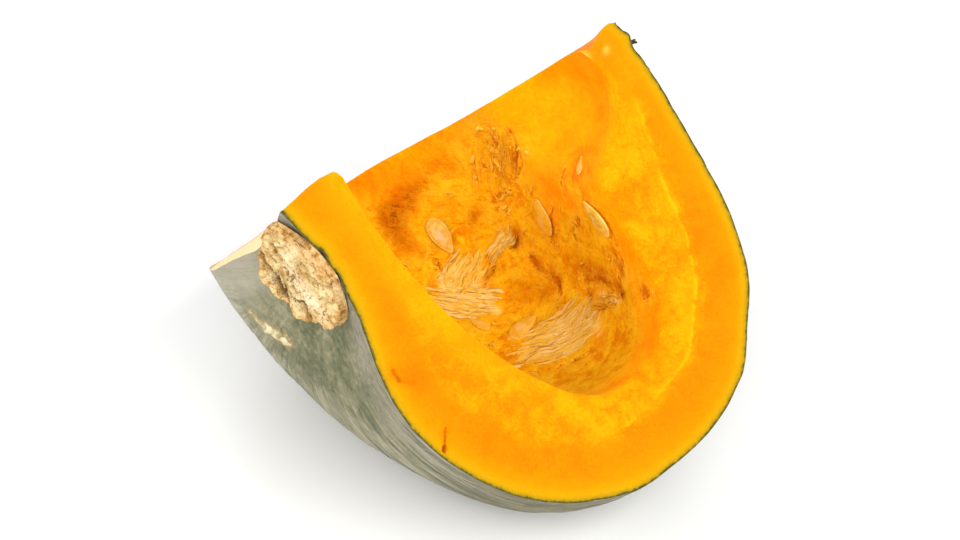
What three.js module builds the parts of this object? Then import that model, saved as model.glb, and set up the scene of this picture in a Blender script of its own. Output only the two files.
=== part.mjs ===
import * as THREE from "three";
import { mergeVertices } from "three/addons/utils/BufferGeometryUtils.js";

// Millimetres and degrees. Every piece is shaped with the fruit's axis along Z, stem end down,
// the large cut facing -Y and the second cut facing -X, and is then laid down as it rests.
const fruit = {
  radius: 91.1,          // from the axis to the skin at the widest level, measured towards -Y
  widening: 0.019,       // share by which the fruit is fuller towards +Y
  stemHalf: 53.9,        // widest level down to the stem end, before the dish is pressed in
  blossomHalf: 62.5,     // widest level up to the blossom end
  stemPower: 2.09,       // roundness of the stem half, 2 is an ellipse
  blossomPower: 2.79,    // roundness of the blossom half, higher is squarer
  dishDepth: 16.7,       // hollow that the stem sits in
  dishRadius: 31.4,
  dipDepth: 0.7,         // faint hollow at the blossom end
  dipRadius: 27.5,
  restDistance: 89.5,    // axis centre to the flattened patch that the wedge lies on
};

// A low swelling of the skin: bearing from +X, level on the axis, and how far it spreads.
const swelling = { height: 1.9, bearing: 8, spread: 10, level: -21, reach: 24 };

const hollow = {
  radius: 66.5,
  middle: 6.25,          // level of its widest ring
  stemHalf: 29.5,
  blossomHalf: 26,
  stemPower: 2,
  blossomPower: 3.4,
  funnelHeight: 19.5,    // how much further it runs towards the blossom end, on the axis
  funnelRadius: 17.5,
};

const largeCut = { offset: 7.8, turn: 0, lean: 0.0122 };
const secondCut = { offset: 11.35, turn: 0.079, lean: 0.107 };
const sightLevel = 8;    // level on the cut edge from which all walls are measured

const laid = { spin: -42.9, lean: 76.65, heading: 40.8 };

const grid = { turns: 30, lifts: 42, faceRings: 3 };
const gap = 0.35;

const stemShape = {
  middle: [-1.2, 4.1],
  radii: [14.8, 12],
  twist: 9,
  topLevel: -43.4,
  topSlope: -0.24,      // the cut top falls away from the large cut
  rings: [              // share of the radius, share of the way from skin to top
    [1.03, 0], [0.99, 0.25], [0.97, 0.55], [0.99, 0.82], [0.94, 1], [0.62, 0.95], [0.3, 0.9],
  ],
  lobes: [              // share of the radius, count round, phase
    [0.03, 3, 20], [0.03, 5, 75], [0.018, 9, 10],
  ],
};

const scarShape = { middle: [1.6, -4.4], radius: 2.2, height: 3.6, lean: [0.4, -0.3] };

const seedShape = { length: 13.5, width: 7.6, thickness: 2.6, gap: 0.55 };

// Each seed: turn from the large cut, lift from the stem end, roll in the wall, and tilt off the wall.
const seedPlaces = {
  seed_1: { turn: 67.4, lift: 99.8, roll: 170, tilt: 4, size: 0.9 },
  seed_2: { turn: 56.6, lift: 112.4, roll: 60, tilt: 6, size: 0.58 },
  seed_3: { turn: 44.4, lift: 117.6, roll: 84, tilt: 4, size: 0.92 },
  seed_4: { turn: 12.8, lift: 123.2, roll: 48, tilt: 4, size: 0.98 },
  seed_5: { turn: 19.4, lift: 136.4, roll: 50, tilt: 4, size: 0.6 },
  seed_6: { turn: 48, lift: 93.4, roll: 150, tilt: 3, size: 0.62 },
  seed_7: { turn: 40.6, lift: 99.4, roll: 124, tilt: 3, size: 0.84 },
};

// Each pulp pad: where its middle lies on the wall, its two half sizes in degrees, roll and thickness.
const pulpPlaces = {
  pulp_bed: { turn: 53.6, lift: 97, across: 7.4, along: 2.2, roll: -44, thick: 2.2 },
  pulp_clump: { turn: 60, lift: 101.4, across: 3.4, along: 3.4, roll: 100, thick: 3 },
  pulp_fold: { turn: 59, lift: 107.8, across: 3.4, along: 1.8, roll: 172, thick: 3.4 },
  pulp_fan: { turn: 32.6, lift: 102, across: 6, along: 7, roll: 0, thick: 2.2 },
  pulp_strand: { turn: 17.5, lift: 111.6, across: 9, along: 2.6, roll: -8, thick: 2 },
  pulp_tuft: { turn: 68.4, lift: 120, across: 6.4, along: 8, roll: 0, thick: 1.8 },
};

const radians = THREE.MathUtils.degToRad;

function cutNormal(cut, axis) {
  const [x, y] = axis === "x" ? [-1, cut.turn] : [cut.turn, -1];
  return new THREE.Vector3(x, y, cut.lean).normalize();
}

const largeNormal = cutNormal(largeCut, "y");
const secondNormal = cutNormal(secondCut, "x");
const edge = new THREE.Vector3().crossVectors(largeNormal, secondNormal).normalize();
edge.multiplyScalar(Math.sign(edge.z));

// The point on the cut edge at the sight level, where both cut planes are met.
function sightPoint() {
  const planes = new THREE.Matrix3().set(
    largeNormal.x, largeNormal.y, largeNormal.z,
    secondNormal.x, secondNormal.y, secondNormal.z,
    0, 0, 1,
  );
  return new THREE.Vector3(largeCut.offset, secondCut.offset, sightLevel).applyMatrix3(planes.invert());
}

function alongCut(normal, other) {
  const way = new THREE.Vector3().crossVectors(edge, normal).normalize();
  return way.multiplyScalar(-Math.sign(way.dot(other)));
}

const sight = sightPoint();
const alongLarge = alongCut(largeNormal, secondNormal);
const alongSecond = alongCut(secondNormal, largeNormal);
const sweep = alongLarge.angleTo(alongSecond);
const inward = alongSecond.clone().addScaledVector(alongLarge, -alongSecond.dot(alongLarge)).normalize();

const layDown = new THREE.Matrix4()
  .makeRotationZ(radians(laid.heading))
  .multiply(new THREE.Matrix4().makeRotationY(radians(laid.lean)))
  .multiply(new THREE.Matrix4().makeRotationZ(radians(laid.spin)));
const up = new THREE.Vector3(0, 0, 1).applyMatrix4(layDown.clone().transpose());

// Negative inside the whole fruit: two half superellipses of revolution with a dish pressed into each end.
function skinSide(p) {
  const r = Math.hypot(p.x, p.y);
  const bearing = THREE.MathUtils.radToDeg(Math.atan2(p.y, p.x));
  const swollen = Math.exp(
    -(((bearing - swelling.bearing) / swelling.spread) ** 2) - ((p.z - swelling.level) / swelling.reach) ** 2,
  );
  const fullness = 1 + fruit.widening * 0.5 * (1 + (r > 0 ? p.y / r : 0))
    + (swelling.height / fruit.radius) * swollen;
  const dish = p.z > 0
    ? -fruit.dipDepth * Math.exp(-((r / fruit.dipRadius) ** 2))
    : fruit.dishDepth * Math.exp(-((r / fruit.dishRadius) ** 2));
  const z = p.z - dish;
  const half = z > 0 ? fruit.blossomHalf : fruit.stemHalf;
  const power = z > 0 ? fruit.blossomPower : fruit.stemPower;
  const round = (Math.abs(z) / half) ** power + (r / (fruit.radius * fullness)) ** power - 1;
  const patch = (-p.dot(up) - fruit.restDistance) / fruit.radius;
  return Math.max(round, patch);
}

// Negative inside the seed cavity, which is drawn out into a funnel towards the blossom end.
function hollowSide(p) {
  const r = Math.hypot(p.x, p.y);
  let z = p.z - hollow.middle;
  if (z > 0) z -= hollow.funnelHeight * Math.exp(-((r / hollow.funnelRadius) ** 4));
  const half = z > 0 ? hollow.blossomHalf : hollow.stemHalf;
  const power = z > 0 ? hollow.blossomPower : hollow.stemPower;
  return (Math.abs(z) / half) ** power + (r / hollow.radius) ** power - 1;
}

// Distance from a point to a wall along a direction, by halving.
function reach(from, way, side) {
  let near = 0;
  let far = 2 * fruit.radius;
  const p = new THREE.Vector3();
  for (let step = 0; step < 40; step += 1) {
    const middle = (near + far) / 2;
    p.copy(from).addScaledVector(way, middle);
    if (side(p) < 0) near = middle;
    else far = middle;
  }
  return (near + far) / 2;
}

// Direction seen from the cut edge: turn runs from the large cut to the second, lift from stem to blossom.
function sightWay(turn, lift) {
  return edge.clone().multiplyScalar(-Math.cos(lift))
    .addScaledVector(alongLarge, Math.sin(lift) * Math.cos(turn))
    .addScaledVector(inward, Math.sin(lift) * Math.sin(turn));
}

function wallPoint(turn, lift, side, back = 0) {
  const way = sightWay(turn, lift);
  return sight.clone().addScaledVector(way, reach(sight, way, side) - back);
}

// Joins rows of points into a sheet; facets that shrink to nothing at a pole are left out.
function addSheet(corners, rows, flipped) {
  for (let i = 0; i + 1 < rows.length; i += 1) {
    for (let j = 0; j + 1 < rows[i].length; j += 1) {
      const quad = [rows[i][j], rows[i + 1][j], rows[i + 1][j + 1], rows[i][j + 1]];
      for (const pick of [[0, 1, 2], [0, 2, 3]]) {
        const facet = pick.map((k) => quad[k]);
        const flat = facet.some((a, k) => a.distanceTo(facet[(k + 1) % 3]) < 1e-4);
        if (!flat) corners.push(...(flipped ? facet.reverse() : facet));
      }
    }
  }
}

function solidFrom(corners) {
  const geometry = new THREE.BufferGeometry().setFromPoints(corners);
  geometry.applyMatrix4(layDown);
  const merged = mergeVertices(geometry, 1e-4);
  merged.computeVertexNormals();
  return merged;
}

// Flesh and rind in one: skin outside, cavity wall inside, and a flat cut face on either side.
function wedgeGeometry() {
  const skinRows = [];
  const hollowRows = [];
  for (let i = 0; i <= grid.turns; i += 1) {
    const turn = (sweep * i) / grid.turns;
    const skinRow = [];
    const hollowRow = [];
    for (let j = 0; j <= grid.lifts; j += 1) {
      const lift = (Math.PI * j) / grid.lifts;
      skinRow.push(wallPoint(turn, lift, skinSide));
      hollowRow.push(wallPoint(turn, lift, hollowSide));
    }
    skinRows.push(skinRow);
    hollowRows.push(hollowRow);
  }
  const faceRows = (skinRow, hollowRow) => {
    const rows = [];
    for (let k = 0; k <= grid.faceRings; k += 1) {
      rows.push(skinRow.map((p, j) => p.clone().lerp(hollowRow[j], k / grid.faceRings)));
    }
    return rows;
  };
  const corners = [];
  addSheet(corners, skinRows, false);
  addSheet(corners, hollowRows, true);
  addSheet(corners, faceRows(skinRows[0], hollowRows[0]), true);
  addSheet(corners, faceRows(skinRows.at(-1), hollowRows.at(-1)), false);
  return solidFrom(corners);
}

// Level of the skin straight below or above a place on the axis plane.
function skinLevel(x, y, sign) {
  const from = new THREE.Vector3(x, y, 0);
  return sign * reach(from, new THREE.Vector3(0, 0, sign), skinSide);
}

// Closes rows that end in points and turns the facets outward.
function orientedSolid(rows) {
  const corners = [];
  addSheet(corners, rows, false);
  let volume = 0;
  for (let k = 0; k < corners.length; k += 3) {
    volume += corners[k].dot(new THREE.Vector3().crossVectors(corners[k + 1], corners[k + 2]));
  }
  if (volume < 0) {
    for (let k = 0; k < corners.length; k += 3) {
      [corners[k + 1], corners[k + 2]] = [corners[k + 2], corners[k + 1]];
    }
  }
  return solidFrom(corners);
}

// The corky stem stub, lobed and cut off on the slant, on its seat in the dish.
function stemGeometry() {
  const [cx, cy] = stemShape.middle;
  const twist = radians(stemShape.twist);
  const steps = 40;
  const outline = [];
  for (let k = 0; k <= steps; k += 1) {
    const a = (2 * Math.PI * (k % steps)) / steps;
    const lobe = stemShape.lobes.reduce(
      (sum, [size, count, phase]) => sum + size * Math.cos(count * a + radians(phase)), 1,
    );
    const u = stemShape.radii[0] * lobe * Math.cos(a);
    const v = stemShape.radii[1] * lobe * Math.sin(a);
    outline.push([u * Math.cos(twist) - v * Math.sin(twist), u * Math.sin(twist) + v * Math.cos(twist)]);
  }
  const ringAt = (share, rise) => outline.map(([u, v]) => {
    const x = cx + u * share;
    const y = cy + v * share;
    const seat = skinLevel(x, y, -1) - gap;
    const top = Math.min(stemShape.topLevel + stemShape.topSlope * (y - cy), seat - 1);
    return new THREE.Vector3(x, y, seat + (top - seat) * rise);
  });
  const rings = stemShape.rings.map(([share, rise]) => ringAt(share, rise));
  return orientedSolid([ringAt(0, 0), ringAt(0.33, 0), ringAt(0.66, 0), ...rings, ringAt(0, 0.88)]);
}

// The dried stub that the flower leaves at the blossom end.
function scarGeometry() {
  const [cx, cy] = scarShape.middle;
  const steps = 16;
  const profile = [[1, 0], [0.9, 0.3], [0.62, 0.62], [0.5, 0.86]];
  const rings = profile.map(([share, rise]) => {
    const ring = [];
    for (let k = 0; k <= steps; k += 1) {
      const a = (2 * Math.PI * k) / steps;
      const r = scarShape.radius * share * (1 + 0.1 * Math.cos(3 * a));
      const x = cx + r * Math.cos(a) + scarShape.lean[0] * rise;
      const y = cy + r * Math.sin(a) + scarShape.lean[1] * rise;
      ring.push(new THREE.Vector3(x, y, skinLevel(cx, cy, 1) + gap + scarShape.height * rise));
    }
    return ring;
  });
  const seat = skinLevel(cx, cy, 1) + gap;
  const floor = new THREE.Vector3(cx, cy, seat);
  const tip = new THREE.Vector3(cx, cy, seat + scarShape.height).add(new THREE.Vector3(...scarShape.lean, 0));
  return orientedSolid([rings[0].map(() => floor), ...rings, rings[0].map(() => tip)]);
}

// Frame on the cavity wall: out points away from the wall, across follows turn, along follows lift.
function wallFrame(turn, lift) {
  const step = radians(2);
  const middle = wallPoint(turn, lift, hollowSide);
  const across = wallPoint(turn + step, lift, hollowSide).sub(wallPoint(turn - step, lift, hollowSide)).normalize();
  const along = wallPoint(turn, lift + step, hollowSide).sub(wallPoint(turn, lift - step, hollowSide)).normalize();
  const out = new THREE.Vector3().crossVectors(across, along).normalize();
  out.multiplyScalar(Math.sign(out.dot(sight.clone().sub(middle))));
  along.crossVectors(out, across).normalize();
  return { middle, across, along, out };
}

// A flat seed: an oval that narrows to a blunt point, thickest in the middle.
function seedGeometry(place) {
  const { middle, across, along, out } = wallFrame(radians(place.turn), radians(place.lift));
  const half = seedShape.length * place.size / 2;
  const roll = radians(place.roll);
  const long = across.clone().multiplyScalar(Math.cos(roll)).addScaledVector(along, Math.sin(roll));
  const wide = new THREE.Vector3().crossVectors(out, long).normalize();
  const tilt = radians(place.tilt);
  const lengthwise = long.clone().multiplyScalar(Math.cos(tilt)).addScaledVector(out, Math.sin(tilt));
  const flatwise = new THREE.Vector3().crossVectors(lengthwise, wide).normalize();
  flatwise.multiplyScalar(Math.sign(flatwise.dot(out)));
  const lift = seedShape.gap + seedShape.thickness * place.size / 2 + half * Math.sin(tilt);
  const core = middle.clone().addScaledVector(out, lift);
  const rows = [];
  const slices = 12;
  const steps = 14;
  for (let i = 0; i <= slices; i += 1) {
    const t = Math.cos((Math.PI * i) / slices);
    const girth = Math.sqrt(Math.max(0, 1 - t * t)) * (1 - 0.28 * t);
    const row = [];
    for (let k = 0; k <= steps; k += 1) {
      const a = (2 * Math.PI * k) / steps;
      row.push(core.clone()
        .addScaledVector(lengthwise, half * t)
        .addScaledVector(wide, 0.5 * seedShape.width * place.size * girth * Math.cos(a))
        .addScaledVector(flatwise, 0.5 * seedShape.thickness * place.size * girth * Math.sin(a)));
    }
    rows.push(row);
  }
  return orientedSolid(rows);
}

// A pad of pulp that lies along the cavity wall and thins out to its rim.
function pulpGeometry(place) {
  const steps = 28;
  const shares = [0.34, 0.62, 0.84, 1];
  const roll = radians(place.roll);
  const at = (share, a, height) => {
    const wave = 1 + 0.1 * Math.cos(3 * a + place.lift) + 0.07 * Math.cos(5 * a + place.turn);
    const u = place.across * share * wave * Math.cos(a);
    const v = place.along * share * wave * Math.sin(a);
    const turn = radians(place.turn + u * Math.cos(roll) - v * Math.sin(roll));
    const lift = radians(place.lift + u * Math.sin(roll) + v * Math.cos(roll));
    return wallPoint(turn, lift, hollowSide, 0.5 + height);
  };
  const ringAt = (share, height) => {
    const ring = [];
    for (let k = 0; k <= steps; k += 1) {
      ring.push(at(share, (2 * Math.PI * (k % steps)) / steps, height));
    }
    return ring;
  };
  const swell = (share) => 0.3 + (place.thick - 0.3) * (1 - share ** 2) ** 0.6;
  const rows = [
    ringAt(0, 0),
    ...shares.map((share) => ringAt(share, 0)),
    ...shares.slice().reverse().map((share) => ringAt(share, swell(share))),
    ringAt(0, place.thick),
  ];
  return orientedSolid(rows);
}

function piece(name, geometry, colour, roughness) {
  const material = new THREE.MeshStandardMaterial({ color: colour, roughness, metalness: 0 });
  const mesh = new THREE.Mesh(geometry, material);
  mesh.name = name;
  return mesh;
}

// Sets the lowest point on the floor and the middle of the box over the origin.
function settle(group) {
  const box = new THREE.Box3().setFromObject(group);
  const middle = box.getCenter(new THREE.Vector3());
  group.children.forEach((mesh) => mesh.geometry.translate(-middle.x, -middle.y, -box.min.z));
  return group;
}

function buildWedge() {
  const group = new THREE.Group();
  group.name = "kabocha_squash_wedge";
  group.add(piece("squash_wedge", wedgeGeometry(), 0xf7a516, 0.5));
  group.add(piece("stem", stemGeometry(), 0xd9bd8c, 0.9));
  group.add(piece("blossom_scar", scarGeometry(), 0x5c4630, 0.9));
  for (const [name, place] of Object.entries(seedPlaces)) {
    group.add(piece(name, seedGeometry(place), 0xecd2a8, 0.45));
  }
  for (const [name, place] of Object.entries(pulpPlaces)) {
    group.add(piece(name, pulpGeometry(place), 0xe39a2c, 0.6));
  }
  return settle(group);
}

export default buildWedge();
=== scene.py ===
import bpy
import numpy as np
from math import radians
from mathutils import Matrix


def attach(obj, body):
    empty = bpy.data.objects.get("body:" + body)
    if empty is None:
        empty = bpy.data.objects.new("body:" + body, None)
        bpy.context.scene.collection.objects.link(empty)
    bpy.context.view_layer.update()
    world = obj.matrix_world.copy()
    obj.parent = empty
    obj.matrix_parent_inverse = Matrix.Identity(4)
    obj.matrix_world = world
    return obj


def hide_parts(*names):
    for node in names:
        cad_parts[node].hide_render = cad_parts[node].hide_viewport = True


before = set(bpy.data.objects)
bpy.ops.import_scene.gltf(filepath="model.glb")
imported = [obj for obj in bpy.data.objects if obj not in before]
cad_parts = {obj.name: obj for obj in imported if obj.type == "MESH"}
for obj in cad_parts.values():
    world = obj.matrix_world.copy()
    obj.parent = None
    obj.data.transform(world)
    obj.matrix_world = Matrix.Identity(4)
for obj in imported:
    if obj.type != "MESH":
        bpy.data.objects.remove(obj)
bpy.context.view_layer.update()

view = bpy.context.scene.view_settings
view.view_transform = "Standard"    # plain colours, so that the ripe flesh keeps its full strength

# Shapes are worked out in millimetres in the fruit's own frame: Z runs from the stem end to the
# blossom end, the large cut faces -Y and the second cut faces -X. lay() then puts them in the room.
laid = {"spin": -42.9, "lean": 76.65, "heading": 40.8, "shift": (-10.564, -11.685, 89.5)}

fruit = {
    "radius": 91.1, "widening": 0.019,
    "stemHalf": 53.9, "blossomHalf": 62.5, "stemPower": 2.09, "blossomPower": 2.79,
    "dishDepth": 16.7, "dishRadius": 31.4, "dipDepth": 0.7, "dipRadius": 27.5,
    "restDistance": 89.5,
    "swelling": {"height": 1.9, "bearing": 8, "spread": 10, "level": -21, "reach": 24},
}

hollow = {
    "radius": 66.5, "middle": 6.25,
    "stemHalf": 29.5, "blossomHalf": 26, "stemPower": 2, "blossomPower": 3.4,
    "funnelHeight": 19.5, "funnelRadius": 17.5,
}

cuts = {
    "largeOffset": 7.8, "largeTilt": (0, -1, 0.0122),
    "secondOffset": 11.35, "secondTilt": (-1, 0.079, 0.107),
    "sightLevel": 8,
}


def unit(v):
    v = np.asarray(v, float)
    return v / np.maximum(np.linalg.norm(v, axis=-1, keepdims=True), 1e-9)


def turned(angle, axis):
    c, s = np.cos(radians(angle)), np.sin(radians(angle))
    if axis == "z":
        return np.array([[c, -s, 0], [s, c, 0], [0, 0, 1]])
    return np.array([[c, 0, s], [0, 1, 0], [-s, 0, c]])


layDown = turned(laid["heading"], "z") @ turned(laid["lean"], "y") @ turned(laid["spin"], "z")
upward, acrossView = layDown[2], layDown[0]


# Fruit frame in millimetres to the room in metres; nothing goes below the floor.
def lay(points):
    room = (points @ layDown.T + laid["shift"]) / 1000
    room[..., 2] = np.maximum(room[..., 2], 0)
    return room


largeNormal, secondNormal = unit(cuts["largeTilt"]), unit(cuts["secondTilt"])
cutEdge = unit(np.cross(largeNormal, secondNormal))
cutEdge = cutEdge * np.sign(cutEdge[2])
sight = np.linalg.solve(
    np.stack([largeNormal, secondNormal, [0, 0, 1]]),
    [cuts["largeOffset"], cuts["secondOffset"], cuts["sightLevel"]],
)


# The way in a cut plane that leads straight away from the cut edge.
def alongCut(normal, other):
    way = unit(np.cross(cutEdge, normal))
    return -way * np.sign(way @ other)


alongLarge, alongSecond = alongCut(largeNormal, secondNormal), alongCut(secondNormal, largeNormal)
sweep = float(np.degrees(np.arccos(alongLarge @ alongSecond)))
inward = unit(alongSecond - alongLarge * (alongSecond @ alongLarge))


# Eased noise from -1 to 1: a hashed value at each corner of a cubic lattice, blended between corners.
def noise(points, seed):
    cell = np.floor(points).astype(np.int64)
    part = points - cell
    ease = part * part * (3 - 2 * part)
    total = 0
    for corner in np.ndindex(2, 2, 2):
        at = cell + corner
        mixed = at[..., 0] * 73856093 ^ at[..., 1] * 19349663 ^ at[..., 2] * 83492791 ^ seed * 7919
        for _ in range(2):
            mixed = ((mixed ^ (mixed >> 13)) & 0xffffffff) * 1274126177 & 0xffffffff
        weight = np.prod(np.where(corner, ease, 1 - ease), axis=-1)
        total = total + weight * (mixed / 2**31 - 1)
    return total


# Noise at falling sizes and strengths added up.
def layered(points, octaves, seed):
    return sum(noise(points * 2**k + 11.3 * k, seed + k) / 2**k for k in range(octaves))


# 1 at no distance, falling away smoothly over a width.
def bell(distance, width):
    return np.exp(-(distance / width) ** 2)


# 0 below low and 1 above high, with a smooth S between.
def step(value, low, high):
    t = np.clip((value - low) / (high - low), 0, 1)
    return t * t * (3 - 2 * t)


# A table of places and values, read at any place between them.
def read(value, table):
    return np.interp(value, *zip(*table))


# Several arrays or numbers as the coordinates of one array of points.
def joined(*parts):
    return np.stack(np.broadcast_arrays(*parts), axis=-1)


# How strongly each stroke of a table of two ends, width and size shows at points.
def strokes(points, table, power=1):
    return [size**power * bell(offStretch(points, start, end), width) for start, end, width, size in table]


# Distance from points to a straight stretch between two ends.
def offStretch(points, start, end):
    start, end = np.asarray(start, float), np.asarray(end, float)
    way = end - start
    t = np.clip(((points - start) @ way) / (way @ way), 0, 1)
    return np.linalg.norm(points - start - t[..., None] * way, axis=-1)


# Negative inside two half superellipses of revolution, one towards each end.
def turnedSide(z, r, radius, shape):
    half = np.where(z > 0, shape["blossomHalf"], shape["stemHalf"])
    power = np.where(z > 0, shape["blossomPower"], shape["stemPower"])
    return (np.abs(z) / half) ** power + (r / radius) ** power - 1


# Negative inside the whole fruit, which has a dish pressed in at each end, a swelling beside the stem
# and a flat patch that it rests on.
def skinSide(p):
    x, y, z = p[..., 0], p[..., 1], p[..., 2]
    r = np.hypot(x, y)
    swell = fruit["swelling"]
    swollen = bell(np.degrees(np.arctan2(y, x)) - swell["bearing"], swell["spread"])
    swollen = swollen * bell(z - swell["level"], swell["reach"])
    fullness = 1 + fruit["widening"] * 0.5 * (1 + y / np.maximum(r, 1e-9))
    fullness = fullness + swell["height"] / fruit["radius"] * swollen
    dish = np.where(
        z > 0,
        -fruit["dipDepth"] * bell(r, fruit["dipRadius"]),
        fruit["dishDepth"] * bell(r, fruit["dishRadius"]),
    )
    patch = (-(p @ upward) - fruit["restDistance"]) / fruit["radius"]
    return np.maximum(turnedSide(z - dish, r, fruit["radius"] * fullness, fruit), patch)


# Negative inside the seed cavity, which is drawn out into a funnel towards the blossom end.
def hollowSide(p):
    r = np.hypot(p[..., 0], p[..., 1])
    z = p[..., 2] - hollow["middle"]
    funnel = hollow["funnelHeight"] * np.exp(-(r / hollow["funnelRadius"]) ** 4)
    return turnedSide(np.where(z > 0, z - funnel, z), r, hollow["radius"], hollow)


# Direction seen from the cut edge, in degrees: turn 0 lies in the large cut and turn sweep in the
# second, lift 0 points at the stem end and lift 180 at the blossom end.
def sightWay(turn, lift):
    turn, lift = np.radians(turn), np.radians(lift)
    level = np.cos(turn)[..., None] * alongLarge + np.sin(turn)[..., None] * inward
    return np.sin(lift)[..., None] * level - np.cos(lift)[..., None] * cutEdge


# Distance to a wall along each way, by halving a stretch longer than any of them.
def reach(start, way, side):
    near, far = np.zeros(way.shape[:-1]), np.full(way.shape[:-1], 200.0)
    for _ in range(28):
        middle = (near + far) / 2
        inside = side(start + middle[..., None] * way) < 0
        near, far = np.where(inside, middle, near), np.where(inside, far, middle)
    return (near + far) / 2


print("stage: mesh tools")


# Quads of a sheet of vertex numbers, with those that shrink to a line or a triangle at a pole mended.
def sheetFaces(numbers, flipped):
    a, b = numbers[:-1, :-1].ravel(), numbers[1:, :-1].ravel()
    c, d = numbers[1:, 1:].ravel(), numbers[:-1, 1:].ravel()
    quads = np.stack([a, d, c, b] if flipped else [a, b, c, d], axis=1)
    shrunk = [quads[:, k] == quads[:, (k + 1) % 4] for k in range(4)]
    count = np.sum(shrunk, axis=0)
    tris = [np.delete(quads[(count == 1) & shrunk[k]], k, axis=1) for k in range(4)]
    return quads[count == 0].tolist(), np.concatenate(tris).tolist()


# A new object of the scene.
def placed(name, data):
    thing = bpy.data.objects.new(name, data)
    bpy.context.scene.collection.objects.link(thing)
    return thing


# Gives points that lie in one place one number.
def weld(points, grain=1e-4):
    keys = np.round(points / grain).astype(np.int64)
    _, first, numbers = np.unique(keys, axis=0, return_index=True, return_inverse=True)
    return points[first], numbers.ravel(), first


# Several sheets of fruit-frame points as one closed mesh piece; a sheet is (grid, flipped, material
# number). Points become attributes through describe, or through own, which holds a value for each grid
# point; shift moves the welded points.
def makePiece(name, sheets, materials, replaced=(), describe=None, shift=None, own=None, sharp=180):
    grids = [grid for grid, _, _ in sheets]
    points, numbers, first = weld(np.concatenate([g.reshape(-1, 3) for g in grids]))
    faces, kinds, start = [], [], 0
    for grid, flipped, kind in sheets:
        size = grid.shape[0] * grid.shape[1]
        quads, tris = sheetFaces(numbers[start:start + size].reshape(grid.shape[:2]), flipped)
        faces += quads + tris
        kinds += [kind] * (len(quads) + len(tris))
        start += size
    moved = points if shift is None else shift(points)
    mesh = bpy.data.meshes.new(name)
    mesh.from_pydata(lay(moved), [], faces)
    mesh.polygons.foreach_set("material_index", kinds)
    mesh.polygons.foreach_set("use_smooth", [True] * len(faces))
    given = describe(points) if describe else {}
    given.update({key: value[first] for key, value in (own or {}).items()})
    given["place"] = points
    for key, value in given.items():
        kind, field = ("FLOAT_VECTOR", "vector") if value.ndim == 2 else ("FLOAT", "value")
        layer = mesh.attributes.new(key, kind, "POINT")
        layer.data.foreach_set(field, value.astype(np.float32).ravel())
    for material in materials:
        mesh.materials.append(material)
    if sharp < 180:
        mesh.set_sharp_from_angle(angle=radians(sharp))
    mesh.validate()
    piece = placed(name, mesh)
    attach(piece, "root")
    if replaced:
        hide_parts(*replaced)
    print("piece:", name, len(points), "points,", len(faces), "faces")


# Closed tubes: paths is (tubes, steps, 3), flat faces away along outs, and wide and thick are half sizes
# at each step. The ends run to a point.
def tubeSheets(paths, outs, wide, thick, sides):
    along = unit(np.gradient(paths, axis=1))
    across = unit(np.cross(along, outs))
    lifted = np.cross(across, along)
    angles = np.linspace(0, 2 * np.pi, sides + 1)
    angles[-1] = 0
    rings = (
        paths[:, None]
        + np.cos(angles)[:, None, None] * across[:, None] * wide[:, None, :, None]
        + np.sin(angles)[:, None, None] * lifted[:, None] * thick[:, None, :, None]
    )
    rings[:, :, 0], rings[:, :, -1] = paths[:, None, 0], paths[:, None, -1]
    return [(ring, False, 0) for ring in rings]


print("stage: materials")

paintStrength = 0.63    # the studio light makes every colour this much too bright


# A screen colour as the linear colour that shaders use; a red past 255 is ripe flesh that glows.
def tint(red, green, blue):
    share = np.array([red, green, blue]) / 255
    linear = np.where(share <= 0.04045, share / 12.92, ((share + 0.055) / 1.055) ** 2.4)
    return (*(linear * paintStrength).tolist(), 1.0)


flesh = {
    "Subsurface_Weight": 0.3, "Subsurface_Radius": (1, 0.6, 0.1), "Subsurface_Scale": 0.002,
    "Specular_IOR_Level": 0.12, "Specular_Tint": (1, 0.6, 0.1, 1),
}


# One output of a node. Sums, differences and products of wires add Math nodes to their material.
class Wire:
    def __init__(self, paint, socket):
        self.paint, self.socket = paint, socket

    def math(self, operation, first, second):
        return self.paint.add("Math", {"operation": operation}, {0: first, 1: second})

    def __add__(self, other):
        return self.math("ADD", self, other)

    def __sub__(self, other):
        return self.math("SUBTRACT", self, other)

    def __rsub__(self, other):
        return self.math("SUBTRACT", other, self)

    def __mul__(self, other):
        return self.math("MULTIPLY", self, other)

    __radd__, __rmul__ = __add__, __mul__

    # 0 below low and 1 above high, smoothly.
    def step(self, low, high):
        sockets = {"Value": self, "From Min": low, "From Max": high}
        return self.paint.add("MapRange", {"interpolation_type": "SMOOTHSTEP"}, sockets)

    # 1 below low and 0 above high, smoothly.
    def fade(self, low, high):
        return 1 - self.step(low, high)


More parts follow.
